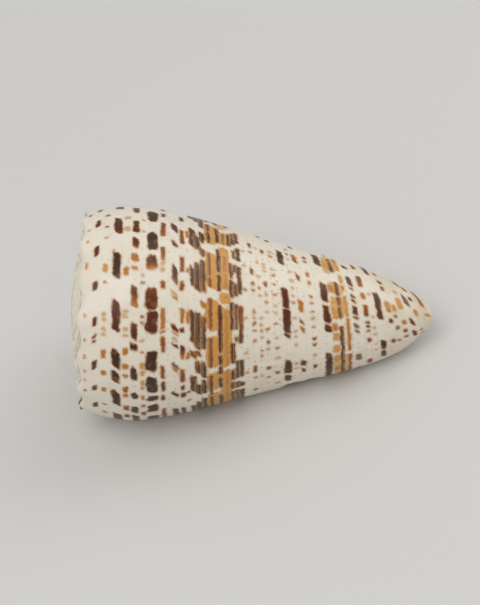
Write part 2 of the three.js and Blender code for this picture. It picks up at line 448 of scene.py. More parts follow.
@dataclass
class ConeShell:
    """The whole shell: solid form, hollow, lip and markings."""

    growth: Growth = field(default_factory=Growth)
    rest: Rest = field(default_factory=Rest)
    wear: LipWear = field(default_factory=LipWear)
    ridges: Ridges = field(default_factory=Ridges)
    space: Hollow = field(default_factory=Hollow)
    shift: Vector = field(default_factory=Vector)
    spire_turns: int = 7
    ramp_rows: int = 11
    side_rows: int = 58
    front_pull: float = 0.12
    steps: int = 372
    lip_steps: int = 8
    lip_places: tuple = (0.0045, 0.0030, 0.0018, 0.0009, 0.0003, 0.0)
    lip_start: float = 0.007
    lip_round: float = 0.3
    lag_fade: float = 0.12
    end_x: float = 69.0
    smooth_angle: float = 38.0

    def point(self, x: Array, r: Array, t: Array) -> Array:
        """Gives the place in space of points on the spiral, stacked in a last axis."""
        angle = self.rest.angle(t)
        return np.stack(np.broadcast_arrays(x, r * np.cos(angle), r * np.sin(angle)), axis=-1)

    def outline(self, t: Array) -> tuple[Array, Array, Array]:
        """Gives the outlines of the outside at many turns at once.

        Args:
            t: turns back from the lip, one for each outline.

        Returns:
            Three arrays [outline, row]: place along the axis, radius, and the row's
            marking coordinate: the share of the length on the side, negative on the spire.
        """
        x, r, mark = [], [], []
        for back in range(self.spire_turns - 1, -1, -1):
            for row in range(self.ramp_rows):
                q = row / (self.ramp_rows - 1)
                px, pr = self.growth.ramp(q, t + back)
                x.append(px)
                r.append(pr)
                mark.append(np.full_like(px, -0.1 + 0.1 * q - back))
        start, end = self.growth.shoulder(t), self.growth.front(t)
        for row in range(1, self.side_rows + 1):
            u = row / self.side_rows
            # The rows crowd together towards the shoulder and again at the front end.
            pull = self.front_pull * ease(u, 0.8, 1)
            s = 0.5 * (u + u * u) * (1 - pull) + pull
            px = start + (end - start) * s
            pr = self.growth.radius(s, t) + self.growth.swell(s, t) + self.ridges.height(s, t)
            x.append(px)
            r.append(pr - self.wear.dent(px, t))
            mark.append(px / (self.growth.size(t) * self.growth.length))
        return np.stack(x, -1), np.stack(r, -1), np.stack(mark, -1)

    def lip_face(self, outside: Array) -> Array:
        """Carries the sheet on over the lip and in to the side of the turn before it.

        Args:
            outside: [outline, row, 3] places; the last outline's spire is moved to its seam.

        Returns:
            [step, row, 3] places of the lip's face.
        """
        spire = (self.spire_turns - 1) * self.ramp_rows
        under = spire + self.ramp_rows
        first = outside[0]
        target = outside[-1].copy()
        target[:spire] = first[self.ramp_rows:under]
        target[spire:under] = first[under]
        target[under:] = first[under:]
        outside[-1][:spire] = target[:spire]
        share = (np.arange(1, self.lip_steps + 1) / self.lip_steps)[:, None, None]
        return outside[-1] + (target - outside[-1]) * share

    def solid(self) -> bpy.types.Object:
        """Makes the shell without its hollow: one turn that carries the spire along.

        Returns:
            The solid form.
        """
        body = np.linspace(1, self.lip_start, self.steps - len(self.lip_places) + 1)
        t = np.concatenate([body, self.lip_places])
        x, r, mark = self.outline(t)
        spire = (self.spire_turns - 1) * self.ramp_rows
        lag = np.zeros_like(x)
        lag[:, spire:] = self.wear.lag(x[:, spire:]) * (1 - ease(t, 0.0, self.lag_fade))[:, None]
        where = t[:, None] + lag
        edge = np.clip(t / self.lip_places[0], 0, 1)
        inset = self.lip_round * (1 - np.sqrt(1 - (1 - edge) ** 2))
        r[:, spire + 2:] -= inset[:, None]
        outside = self.point(x, r, where)
        face = self.lip_face(outside)
        poles = np.zeros((len(outside) + len(face), 1, 3))
        front = poles.copy()
        front[..., 0] = self.end_x
        points = np.concatenate([poles, np.concatenate([outside, face]), front], axis=1)
        turn = np.concatenate([where, np.repeat(where[-1:], self.lip_steps, axis=0)])
        level = np.concatenate([mark, np.repeat(mark[-1:], self.lip_steps, axis=0)])
        marks = np.stack([turn, level], -1)
        marks = np.concatenate([marks[:, :1], marks, marks[:, -1:]], axis=1)
        tool = SheetTool("shell_form", points.shape[1] - 1, len(points) - 1)
        return tool.make(points, marks)

    def hollow(self) -> bpy.types.Object:
        """Makes the space inside the shell, starting a little in front of the lip.

        Returns:
            The closed space.
        """
        t = self.space.places()
        x, r = self.space.outline(self.growth, np.maximum(t, 0))
        points = self.point(x, r, t[:, None])
        # Each end is closed by bringing its outline together on its own middle line.
        count = self.space.rows + 1
        middles = []
        for end in (points[0], points[-1]):
            middle = (end[:count] + end[count:2 * count][::-1]) / 2
            middles.append(np.concatenate([middle, middle[::-1], middle[:1]])[None])
        points = np.concatenate([middles[0], points, middles[1]])
        turn = np.concatenate([t[:1], t, t[-1:]])
        level = 2 + points[..., 0] / self.growth.length
        marks = np.stack(np.broadcast_arrays(turn[:, None], level), -1)
        tool = SheetTool("shell_space", points.shape[1] - 1, len(points) - 1)
        return tool.make(points, marks)

    def build(self) -> bpy.types.Object:
        """Hollows the solid form and lays the shell down as it rests.

        Returns:
            The finished shell at the origin, its place in its mesh.
        """
        form, space = self.solid(), self.hollow()
        bpy.ops.object.select_all(action="DESELECT")
        form.select_set(True)
        bpy.context.view_layer.objects.active = form
        bpy.ops.object.modifier_add(type="BOOLEAN")
        cut = form.modifiers[-1]
        cut.operation = "DIFFERENCE"
        cut.solver = "MANIFOLD"
        cut.object = space
        bpy.ops.object.modifier_apply(modifier=cut.name)
        bpy.data.objects.remove(space, do_unlink=True)
        form.name = "cone_shell"
        form.data.transform(self.rest.turn())
        co = np.empty(len(form.data.vertices) * 3)
        form.data.vertices.foreach_get("co", co)
        low, high = co.reshape(-1, 3).min(axis=0), co.reshape(-1, 3).max(axis=0)
        self.shift = Vector((-(low[0] + high[0]) / 2, -(low[1] + high[1]) / 2, -low[2]))
        form.data.transform(Matrix.Translation(self.shift))
        bpy.ops.object.shade_smooth_by_angle(angle=math.radians(self.smooth_angle))
        return form

    def dress(self, piece: bpy.types.Object, finish: "ShellFinish") -> None:
        """Gives the shell its finish.

        Args:
            piece: the built shell.
            finish: the finish to wear.
        """
        piece.data.materials.clear()
        piece.data.materials.append(finish.material())

    def to_world(self, point: tuple[float, float, float]) -> Vector:
        """Takes a place in the shell's own millimetres to where it lies."""
        return self.rest.turn() @ (Vector(point) * MM) + self.shift


class Ink(Enum):
    """The colours that the shell is marked with, as linear colour."""

    UMBER = (0.038, 0.014, 0.006)
    OLIVE = (0.040, 0.028, 0.014)
    MAROON = (0.090, 0.016, 0.004)
    RUST = (0.230, 0.060, 0.010)
    PLUM = (0.080, 0.036, 0.026)
    AMBER = (0.480, 0.165, 0.016)
    OCHRE = (0.620, 0.300, 0.060)
    STRAW = (0.640, 0.410, 0.165)
    ASH = (0.170, 0.120, 0.095)


@dataclass(frozen=True)
class Row:
    """One spiral row of marks.

    `centre` and `half` are shares of the length. `marks` are (from, to, ink) in degrees back
    from the lip on the side that shows. The far side is filled by chance with marks of the
    row's own ink: `fill` says how much of it, and `pace` how many to a turn. `slant` leans
    the marks, and `rim` is how strongly their edges are stained.
    """

    name: str
    centre: float
    half: float
    ink: Ink
    marks: tuple
    fill: float = 0.45
    pace: float = 22.0
    slant: float = 0.0
    rim: float = 0.5


# Short names for the inks, for the tables of marks below.
U, O, M, R, P = Ink.UMBER, Ink.OLIVE, Ink.MAROON, Ink.RUST, Ink.PLUM
A, C, S, G = Ink.AMBER, Ink.OCHRE, Ink.STRAW, Ink.ASH

SHOULDER_ROWS = (
    Row("shoulder_specks", 0.055, 0.006, S, (
        (48, 49.5, A), (56, 57, S), (62, 63, S), (71, 73, S), (81, 81.7, A), (94, 96, S),
        (121, 125, C), (138, 139.5, S), (148, 149, S), (164, 168, G)), 0.25, 40),
    Row("slant_dashes", 0.084, 0.0072, M, (
        (4, 12, G), (33, 38, U), (50, 53.5, P), (65.5, 70, P), (81, 82, M), (83.5, 84.5, M),
        (90, 94, M), (109, 113.5, M), (129, 134.5, M), (151, 157, M), (172, 178, G)), 0.35, 22, -0.35),
    Row("first_dots", 0.110, 0.006, A, (
        (28, 30, G), (38, 39.5, G), (51, 53.5, A), (62.5, 65, A), (73, 77, A), (85, 86, S),
        (88, 89, S), (93, 94, S), (96, 97, S), (112.5, 113.3, A), (119, 123, C), (140, 141, S),
        (149.5, 150.3, G), (161, 163, G)), 0.3, 36),
    Row("great_dashes", 0.143, 0.0115, U, (
        (4, 29, O), (40, 52, U), (59, 65, U), (67.5, 77.5, U), (88, 103.5, M), (116, 130, U),
        (144, 157, M), (172, 190, U)), 0.5, 15, 0.35),
    Row("second_dots", 0.170, 0.0072, A, (
        (6, 14, O), (24, 29, O), (35, 40, R), (48.5, 50.5, A), (52, 56, R), (62.3, 63.8, A),
        (67.5, 70, A), (75.8, 78.6, A), (85, 86, S), (88.5, 89.5, S), (95, 96, S),
        (97.5, 98.5, S), (117, 121, A), (145, 148.5, S), (155.5, 158, S)), 0.35, 36),
    Row("red_dashes", 0.194, 0.0095, M, (
        (5, 28, O), (32, 39, O), (47.5, 51, O), (61, 68, O), (78, 81.5, U), (84, 92, M),
        (100.5, 104, A), (104, 111.5, M), (120, 121, A), (125, 129, A), (133, 139, M),
        (144, 153.5, M), (163.5, 173, M)), 0.5, 22, 0.2),
    Row("third_dots", 0.217, 0.0055, S, (
        (27, 32, R), (38.3, 40.3, G), (46, 48.6, A), (54, 56, C), (57.5, 60, C), (63.5, 66, C),
        (67.5, 71, C), (76.5, 77.5, A), (83, 84, S), (92, 92.7, G), (95.2, 96, G),
        (112.8, 113.5, G), (117, 117.8, S), (144.5, 145.2, S), (154.4, 155, G)), 0.3, 40),
    Row("widest_dashes", 0.242, 0.0158, U, (
        (5, 24, O), (31, 39.5, U), (43.5, 48, O), (51, 62, O), (65.5, 77, U), (87, 98.5, M),
        (99.5, 110, M), (121, 122.5, A), (122.5, 129, M), (132, 144.5, U), (155, 168, U)), 0.6, 14),
    Row("amber_dashes", 0.273, 0.0062, R, (
        (3, 33, R), (43.5, 47.5, O), (51, 58, O), (60.5, 69, R), (76.5, 84.5, R), (87, 88.5, A),
        (89.5, 100, A), (110.5, 114.5, R), (121, 122, S), (124, 125, S), (126.5, 135.5, R),
        (143.5, 155, R), (162.5, 167.5, O), (175, 190, R)), 0.5, 24),
    Row("long_dashes", 0.306, 0.0095, P, (
        (5, 30, O), (45.5, 48.6, O), (64.5, 65.5, A), (66, 69, G), (79, 80.6, U), (83, 83.8, S),
        (86, 87, A), (88, 91.5, M), (105, 106.5, A), (107.5, 109, S), (114.5, 123.5, P),
        (137.5, 140, P), (149, 156, P)), 0.35, 26, 0.5),
    Row("rust_dashes", 0.327, 0.0062, R, (
        (6, 30, O), (43, 47, M), (50, 53.5, O), (56.5, 65.5, R), (72.5, 74.5, A), (74.5, 80, U),
        (87, 90, M), (93, 100.5, A), (111, 115, R), (121, 131, R), (139.5, 151.5, R),
        (162, 169, O)), 0.5, 24),
    Row("links", 0.343, 0.005, A, (
        (38, 39, G), (46, 47.5, R), (72, 75, A), (93, 99, A), (121, 123, A), (146, 151, A)), 0.25, 24),
)

FIRST_BAND = (
    Row("ochre_ground", 0.413, 0.021, C, (
        (3, 41, C), (44, 60, C), (64, 84, C), (88, 106, C), (113, 137, C), (145, 167, C),
        (176, 190, C)), 0.72, 9, 0.0, 0.1),
    Row("ochre_edge", 0.447, 0.017, C, (
        (3, 60, C), (63, 102, C), (104, 111, C), (113, 143, C), (146, 160, C), (165, 190, S)),
        0.72, 9, 0.0, 0.1),
    Row("patch_tips", 0.357, 0.0088, P, (
        (4, 30, U), (47, 60, O), (71.5, 76, R), (81, 99, P), (114, 125, P), (139, 155, P),
        (171, 190, U)), 0.5, 9, 0.4),
    Row("patch_hearts", 0.371, 0.0092, P, (
        (3, 34, U), (43, 52, O), (61, 69, P), (72.5, 75.5, R), (77, 98.5, P), (111, 128, P),
        (138, 149, P), (167, 190, P)), 0.6, 9, 0.3),
    Row("patch_roots", 0.386, 0.0082, P, (
        (3, 37, U), (43, 55, O), (57.5, 69, P), (77, 96, P), (101, 104.5, A), (111, 130.5, P),
        (133, 139, R), (144, 153, U), (160, 190, O)), 0.6, 9, 0.3),
    Row("rust_line", 0.405, 0.0055, R, (
        (3, 37, U), (39, 58, U), (64, 83, R), (88, 107, R), (113, 120, R), (121.5, 137, R),
        (145, 156, U), (157, 168, M), (174, 190, U)), 0.75, 9),
    Row("dark_line", 0.432, 0.0066, M, (
        (3, 36, O), (45, 55, O), (58, 64, M), (65, 72, M), (74, 103, M), (111.5, 122, M),
        (124, 141, U), (147, 164, U), (172, 190, U)), 0.75, 9),
    Row("amber_line", 0.450, 0.0035, A, (
        (3, 29, A), (30, 45, A), (46, 60, A), (64, 70, A), (71, 78, A), (79, 84, A), (85, 100, A),
        (108, 109, A), (114, 123, A), (125, 136, A), (146, 158, O)), 0.75, 14),
    Row("back_line", 0.467, 0.0066, M, (
        (3, 37, M), (40, 48, M), (50, 60, U), (64, 79, M), (88, 105, P), (108, 120, P),
        (121, 132, M), (147, 160, U), (173, 190, U)), 0.65, 10),
    Row("back_patches", 0.4795, 0.0064, P, (
        (3, 37, O), (40, 47, O), (51, 66, O), (80, 83, G), (88, 104, P), (109, 117, P),
        (125, 131, P), (136, 143, P), (149, 163, U)), 0.55, 10),
    Row("back_edges", 0.491, 0.0066, P, (
        (3, 36, O), (41, 46, O), (52, 66, O), (79, 88, P), (88, 103, R), (111, 130, P),
        (134, 146, U), (151, 165, M)), 0.5, 10),
)

WHITE_ZONE = (
    Row("fine_a", 0.506, 0.005, S, (
        (54, 55, A), (71, 72, S), (95, 96, S), (114, 115, G), (131, 132, S), (144, 145, S)), 0.2, 44),
    Row("dots_a", 0.529, 0.0052, A, (
        (29, 32, R), (47, 48, G), (54, 60, R), (79, 80, A), (86, 87, A), (91, 92.2, G),
        (95, 96, A), (98.5, 100.5, C), (114, 115, G), (118, 119.8, A), (126.5, 131, R),
        (144, 145.5, G), (150, 155, R)), 0.35, 40),
    Row("fine_b", 0.548, 0.005, S, (
        (48, 49, S), (67, 68, A), (71, 72, A), (81, 82, S), (86, 86.9, A), (90, 90.8, S),
        (95, 95.9, S), (111, 111.8, S), (116, 117, A), (125, 126, S), (136.5, 137.3, S),
        (151, 151.9, S)), 0.25, 44),
    Row("dots_b", 0.566, 0.0055, A, (
        (44, 46, G), (54, 57, G), (72, 73, S), (76.5, 78.5, G), (87, 88.3, A), (99.5, 100.4, S),
        (106.5, 107.5, C), (112, 112.9, C), (118, 121, R), (130, 131, S), (133, 134, S),
        (136, 137, S), (147, 151, R), (172, 180, G)), 0.35, 40),
    Row("dots_c", 0.591, 0.006, A, (
        (32, 35, S), (47, 49.5, R), (63, 64.2, S), (72, 73.3, A), (80.5, 81.4, S), (91, 91.9, A),
        (98.5, 99.4, S), (104.5, 105.3, S), (112, 113.2, A), (120, 121.2, A), (127, 128.3, A),
        (132.5, 133.8, S), (145, 147, A), (149.5, 150.5, S), (167, 172, O)), 0.35, 40),
    Row("white_zone_dashes", 0.621, 0.0100, U, (
        (33, 42, O), (45, 60, O), (80, 83.5, P), (84, 89, P), (89, 103, M), (103.5, 118, M),
        (140, 146, P), (146, 156, U)), 0.5, 11, 0.3),
    Row("fine_c", 0.645, 0.0045, S, (
        (49, 50, S), (55, 56, A), (73, 74, S), (80, 81, S), (85, 86, S), (95, 96, S),
        (107.5, 108.5, A), (113, 114, S), (119, 120, S), (125, 126.5, S), (134, 135, S),
        (147, 148, S), (153, 155, G), (160, 163, S)), 0.25, 44),
    Row("blotches", 0.665, 0.0065, A, (
        (43, 48, U), (52, 58, M), (84, 88, A), (91.5, 94, G), (101.5, 104, A), (104, 110, A),
        (128, 133, R), (145.5, 150, R), (150, 155, A), (168, 175, O)), 0.4, 24, 0.5),
    Row("dots_d", 0.697, 0.0055, A, (
        (45, 50, O), (60.5, 62.5, S), (71, 73.3, R), (77, 79.3, R), (87.5, 88.5, G),
        (95, 96.5, C), (100.5, 101.5, G), (108, 108.9, A), (113, 115, A), (125, 128, A),
        (132.5, 137, A), (148, 150.5, A), (153.5, 156.5, R)), 0.4, 36),
    Row("front_dashes", 0.738, 0.0098, U, (
        (3, 62, O), (83, 90, U), (91.5, 107, M), (111, 117, M), (117, 128.5, P), (149, 168, U)),
        0.55, 10, 0.3),
)

SECOND_BAND = (
    Row("sand_ground", 0.774, 0.021, C, (
        (3, 58, S), (96, 116, S), (118, 131, S), (144, 168, S)), 0.5, 9, 0.0, 0.1),
    Row("ochre_blots", 0.760, 0.0085, C, (
        (30, 38, A), (48, 57, C), (61, 69, C), (74.5, 81, C), (84, 91, A), (95, 98, C),
        (99.5, 105, C), (110, 111.3, C), (113.5, 115, C), (120, 128, A), (141, 145, S),
        (147, 158, C)), 0.6, 20),
    Row("front_line", 0.777, 0.0058, M, (
        (3, 60, U), (60, 88, M), (96, 107, R), (108, 116, R), (117, 131, M), (143, 152, O),
        (152, 165, R), (172, 190, U)), 0.7, 9),
    Row("front_amber_line", 0.797, 0.0048, A, (
        (3, 56, R), (61, 80, A), (80, 96, A), (98, 118, C), (124, 129, A), (132, 141, C),
        (147, 156, C), (157, 170, A)), 0.65, 10),
    Row("ash_dashes", 0.822, 0.0078, G, (
        (3, 20, G), (42, 53, G), (80, 84, G), (86, 90, G), (95, 98, G), (100, 104, P),
        (104, 108.5, P), (112, 115, R), (117, 120, R), (126, 128, P), (130, 141, P),
        (153.5, 159, O)), 0.45, 24, 0.4),
    Row("front_rust", 0.855, 0.0066, R, (
        (25, 38, R), (68, 73.5, R), (80.5, 82.5, P), (85.5, 88.5, P), (90, 92.5, P),
        (98, 111, R), (117.5, 124, A), (131.5, 145, R), (158, 168, R)), 0.45, 22),
    Row("fine_d", 0.873, 0.004, S, (
        (53, 55, S), (63, 64, S), (76, 78, S), (84, 86, S), (97, 98, S), (123, 125, S)), 0.25, 40),
    Row("last_dashes", 0.895, 0.0085, U, (
        (33, 49, O), (52, 67, O), (95, 111, P), (111, 127, P), (155, 190, O)), 0.45, 10, 0.3),
    Row("tip_dots_a", 0.924, 0.0065, R, (
        (60, 66, R), (90, 96, P), (104, 118, C), (133, 139, G), (143, 149, R), (159, 165, R)), 0.35, 20),
    Row("tip_dots_b", 0.941, 0.0055, G, (
        (60, 63, G), (80, 85, G), (97, 101, G), (106, 113, C)), 0.35, 20),
    Row("tip_dots_c", 0.963, 0.0065, R, (
        (63, 67, R), (73, 79, R), (87, 94, A), (110, 127, C), (134, 138, S)), 0.35, 20),
    Row("tip_stain", 0.988, 0.0070, G, (
        (58, 73, P), (84, 95, P), (118, 135, G), (155, 175, O)), 0.35, 12, 1.2),
    Row("tip_dots_d", 1.008, 0.0060, R, (
        (40, 44, R), (52, 57, G), (66, 69, R), (101, 112, C), (128, 136, R), (148, 158, R)), 0.35, 20),
    Row("tip_edge", 1.044, 0.0070, A, ((36, 44, O), (101, 107, C), (124, 165, R)), 0.4, 14, 0.0, 0.9),
)


class Bench:
    """Sets out and joins the nodes of one tree.

    A node is always made after the nodes that feed it.
    """

    def __init__(self, tree: bpy.types.NodeTree) -> None:
        """Takes the tree to work on."""
        self.tree = tree
        self.count = 0

    def node(self, kind: str, **settings: object) -> bpy.types.Node:
        """Adds a node and places it after the last one.

        Args:
            kind: Blender's name for the kind of node.
            **settings: the node's properties.

        Returns:
            The new node.
        """
        node = self.tree.nodes.new(kind)
        node.location = (180 * (self.count % 12), -260 * (self.count // 12))
        self.count += 1
        for name, value in settings.items():
            setattr(node, name, value)
        return node

    def feed(self, socket: Socket, value: Value) -> None:
        """Links a socket to another, or sets its own value.

        Args:
            socket: the input to feed.
            value: an output to link, a value to set, or None to leave it alone.
        """
        if isinstance(value, Socket):
            self.tree.links.new(value, socket)
        elif value is not None:
            socket.default_value = value

    def feed_all(self, node: bpy.types.Node, values: dict[str, Value]) -> None:
        """Feeds a node's inputs by name."""
        for name, value in values.items():
            self.feed(node.inputs[name], value)

    def math(self, operation: str, a: Value, b: Value = None, c: Value = None) -> Socket:
        """Does one sum.

        Args:
            operation: Blender's name for the sum.
            a: the first value.
            b: the second value, if the sum has one.
            c: the third value, if the sum has one.

        Returns:
            The result.
        """
        node = self.node("ShaderNodeMath", operation=operation)
        for socket, value in zip(node.inputs, (a, b, c)):
            self.feed(socket, value)
        return node.outputs[0]

    def step(self, value: Value, low: float, high: float,
             to_low: float = 0.0, to_high: float = 1.0) -> Socket:
        """Goes smoothly from one value to another.

        Args:
            value: what is read.
            low: where the step starts.
            high: where the step ends.
            to_low: the result up to low.
            to_high: the result from high on.

        Returns:
            The result.
        """
        node = self.node("ShaderNodeMapRange", interpolation_type="SMOOTHSTEP", clamp=False)
        self.feed_all(node, {"Value": value, "From Min": low, "From Max": high,
                             "To Min": to_low, "To Max": to_high})
        return node.outputs["Result"]

    def mix(self, share: Value, a: Value, b: Value) -> Socket:
        """Mixes two colours.

        Args:
            share: how much of the second colour.
            a: the first colour.
            b: the second colour.

        Returns:
            The mixed colour.
        """
        node = self.node("ShaderNodeMix", data_type="RGBA", blend_type="MIX")
        self.feed(node.inputs[0], share)
        for socket, value in ((node.inputs[6], a), (node.inputs[7], b)):
            self.feed(socket, (*value, 1.0) if isinstance(value, tuple) else value)
        return node.outputs[2]

    def noise(self, vector: Socket, scale: float, detail: float, rough: float = 0.5) -> Socket:
        """Gives soft noise over a place.

        Args:
            vector: the place.
            scale: how fine the noise is.
            detail: how many finer layers it has.
            rough: how strong those layers are.

        Returns:
            The noise.
        """
        node = self.node("ShaderNodeTexNoise")
        self.feed_all(node, {"Vector": vector, "Scale": scale, "Detail": detail, "Roughness": rough})
        return node.outputs["Fac"]

    def line_noise(self, place: Socket, scale: Value, detail: float = 1.0) -> Socket:
        """Gives soft noise along a line.

        Args:
            place: the place on the line.
            scale: how fine the noise is.
            detail: how many finer layers it has.

        Returns:
            The noise.
        """
        node = self.node("ShaderNodeTexNoise", noise_dimensions="1D")
        self.feed_all(node, {"W": place, "Scale": scale, "Detail": detail})
        return node.outputs["Fac"]


def new_group(name: str, inputs: tuple) -> tuple[bpy.types.NodeTree, Bench, dict[str, Socket], Socket]:
    """Starts a shader node group that gives one colour.

    Args:
        name: the group's name.
        inputs: (name, socket type, value) of each input.

    Returns:
        The group, its bench, its inputs by name, and the socket that takes its colour.
    """
    group = bpy.data.node_groups.new(name, "ShaderNodeTree")
    for label, kind, value in inputs:
        socket = group.interface.new_socket(label, in_out="INPUT", socket_type=kind)
        socket.default_value = value
    group.interface.new_socket("Colour", in_out="OUTPUT", socket_type=COLOUR)
    bench = Bench(group)
    given = bench.node("NodeGroupInput")
    out = bench.node("NodeGroupOutput")
    return group, bench, given.outputs, out.inputs["Colour"]


PLACE_INPUTS = (
    ("Under", COLOUR, (1, 1, 1, 1)), ("Turn", NUMBER, 0.0), ("Level", NUMBER, 0.0),
    ("Blush", NUMBER, 0.0), ("Ragged", NUMBER, 0.0), ("Girth", NUMBER, 1.0),
    ("Degree", NUMBER, 0.3),
)
MARK_INPUTS = (
    ("Mark", COLOUR, (0, 0, 0, 1)), ("Reach", NUMBER, 0.0), ("Own", COLOUR, (0, 0, 0, 1)),
    ("Centre", NUMBER, 0.0), ("Half", NUMBER, 0.01), ("Fill", NUMBER, 0.5),
    ("Pace", NUMBER, 20.0), ("Seed", NUMBER, 0.0), ("Rim", NUMBER, 0.5),
)


@dataclass(frozen=True)
class MarkEdge:
    """How a mark ends. Each pair is in millimetres from its edge, less than 0 inside it."""

    rounding: float = 0.8
    spread: float = 0.3
    ink: tuple = (-0.28, 0.16)
    rim: tuple = (-0.55, -0.05)
    rim_share: float = 0.55
    halo: tuple = (-0.05, 0.42)
    halo_strength: float = 0.9
    halo_colour: tuple = (0.500, 0.280, 0.100)
    far_side: tuple = (0.522, 0.527)
    chance_slope: float = -0.46
    chance_bar: float = 0.735

    def group(self) -> bpy.types.NodeTree:
        """Makes the group that lays one row of marks over a colour.

        "Reach" says how far inside a mark a place is, in degrees along the row: 0.5 on its
        edge and REACH_SPAN degrees for a whole 1.

        Returns:
            The group.
        """
        group, bench, g, out = new_group("mark_row", PLACE_INPUTS + MARK_INPUTS)
        corner = bench.math("MULTIPLY", g["Half"], LENGTH * self.rounding)
        shown = bench.math("MULTIPLY_ADD", g["Reach"], REACH_SPAN, self.spread - REACH_SPAN / 2)
        chance = bench.line_noise(bench.math("ADD", g["Turn"], g["Seed"]), g["Pace"], 0.0)
        bar = bench.math("MULTIPLY_ADD", g["Fill"], self.chance_slope, self.chance_bar)
        wide = bench.math("DIVIDE", 2 * TURN, g["Pace"])
        hidden = bench.math("MULTIPLY", bench.math("SUBTRACT", chance, bar), wide)
        far = bench.step(g["Turn"], *self.far_side)
        along = bench.math("MULTIPLY_ADD", bench.math("SUBTRACT", hidden, shown), far, shown)
        end = bench.math("SUBTRACT", corner, bench.math("MULTIPLY", along, g["Degree"]))
        off = bench.math("ABSOLUTE", bench.math("SUBTRACT", g["Level"], g["Centre"]))
        beyond = bench.math("SUBTRACT", off, bench.math("MULTIPLY", g["Half"], g["Girth"]))
        side = bench.math("MULTIPLY_ADD", beyond, LENGTH, corner)
        end_out, side_out = bench.math("MAXIMUM", end, 0.0), bench.math("MAXIMUM", side, 0.0)
        square = bench.math("MULTIPLY_ADD", end_out, end_out, bench.math("MULTIPLY", side_out, side_out))
        inner = bench.math("MINIMUM", bench.math("MAXIMUM", end, side), 0.0)
        edge = bench.math("SUBTRACT", bench.math("ADD", bench.math("SQRT", square), inner), corner)
        edge = bench.math("ADD", edge, g["Ragged"])
        ink = bench.step(edge, *self.ink, 1.0, 0.0)
        mark = bench.mix(far, g["Mark"], g["Own"])
        rim = bench.math("MAXIMUM", bench.step(edge, *self.rim), g["Blush"])
        blush = bench.math("MULTIPLY", rim, g["Rim"])
        warmed = bench.mix(blush, mark, bench.mix(self.rim_share, mark, Ink.AMBER.value))
        halo = bench.step(edge, *self.halo, self.halo_strength, 0.0)
        halo = bench.math("MULTIPLY", halo, g["Rim"])
        under = bench.mix(halo, g["Under"], self.halo_colour)
        bench.feed(out, bench.mix(ink, under, warmed))
        return group


@dataclass(frozen=True)
class RowPainter:
    """Turns rows of marks into node groups, each laid over the colour before it."""

    shared: bpy.types.NodeTree
    first_reach: float = 190.0

    def stop(self, where: float, depth: float, ink: tuple) -> tuple[float, tuple]:
        """Gives one stop of a row's ramp.

        Args:
            where: degrees back from the lip.
            depth: degrees inside a mark, less than 0 outside.
            ink: the colour there.

        Returns:
            (place, colour with the reach as its last value).
        """
        reach = min(max(0.5 + depth / REACH_SPAN, 0.0), 1.0)
        return where / self.first_reach, (*ink, reach)

    def stops(self, row: Row) -> list[tuple[float, tuple]]:
        """Lists how far inside or outside its marks a row is, at its turning places.

        Args:
            row: the row.

        Returns:
            The stops, from the lip back.
        """
        first, last = row.marks[0], row.marks[-1]
        stops = [self.stop(0.0, -first[0], first[2].value)]
        for mark, after in zip(row.marks, row.marks[1:] + (None,)):
            start, end, ink = mark
            stops.append(self.stop((start + end) / 2, (end - start) / 2, ink.value))
            if after is None:
                break
            next_start, next_end, next_ink = after
            between = tuple((a + b) / 2 for a, b in zip(ink.value, next_ink.value))
            if next_start > end:
                stops.append(self.stop((end + next_start) / 2, (end - next_start) / 2, between))
            else:
                stops.append(self.stop(end, min(end - start, next_end - next_start), between))
        stops.append(self.stop(self.first_reach, last[1] - self.first_reach, last[2].value))
        return stops

    def ramp(self, bench: Bench, row: Row) -> bpy.types.Node:
        """Sets out a row's marks on a colour ramp.

        Args:
            bench: the row's bench.
            row: the row.

        Returns:
            The ramp: its colour is the ink and its alpha the reach.
        """
        node = bench.node("ShaderNodeValToRGB")
        ramp = node.color_ramp
        ramp.interpolation = "LINEAR"
        stops = self.stops(row)
        for _ in range(len(stops) - len(ramp.elements)):
            ramp.elements.new(0.5)
        for element, (where, _) in zip(ramp.elements, stops):
            element.position = min(where, 1.0)
        for element, (_, colour) in zip(ramp.elements, stops):
            element.color = colour
        return node

    def group(self, row: Row, seed: float) -> bpy.types.NodeTree:
        """Makes the group of one row.

        Args:
            row: the row.
            seed: shifts the chance by which the far side is filled.

        Returns:
            A group that lays the row over a colour.
        """
        group, bench, g, out = new_group(row.name, PLACE_INPUTS)
        turn = g["Turn"]
        if row.slant:
            off = bench.math("SUBTRACT", g["Level"], row.centre)
            turn = bench.math("MULTIPLY_ADD", off, row.slant, turn)
        share = bench.math("MULTIPLY", turn, TURN / self.first_reach)
        ramp = self.ramp(bench, row)
        bench.feed(ramp.inputs[0], share)
        node = bench.node("ShaderNodeGroup", node_tree=self.shared)
        values = {name: g[name] for name, _, _ in PLACE_INPUTS}
        values.update({"Turn": turn, "Mark": ramp.outputs["Color"], "Reach": ramp.outputs["Alpha"],
                       "Own": (*row.ink.value, 1.0), "Centre": row.centre, "Half": row.half,
                       "Fill": row.fill, "Pace": row.pace, "Seed": seed, "Rim": row.rim})
        bench.feed_all(node, values)
        bench.feed(out, node.outputs["Colour"])
        return group


@dataclass(frozen=True)
class Spot:
    """What the finish knows of a place on the shell, as sockets.

    `turn` and `level` are exact. `drawn_turn` and `drawn_level` waver as a drawn line does.
    """

    place: Socket
    turn: Socket
    level: Socket
    grain: Socket
    rough: Socket
    tint: Socket
    drawn_turn: Socket
    drawn_level: Socket


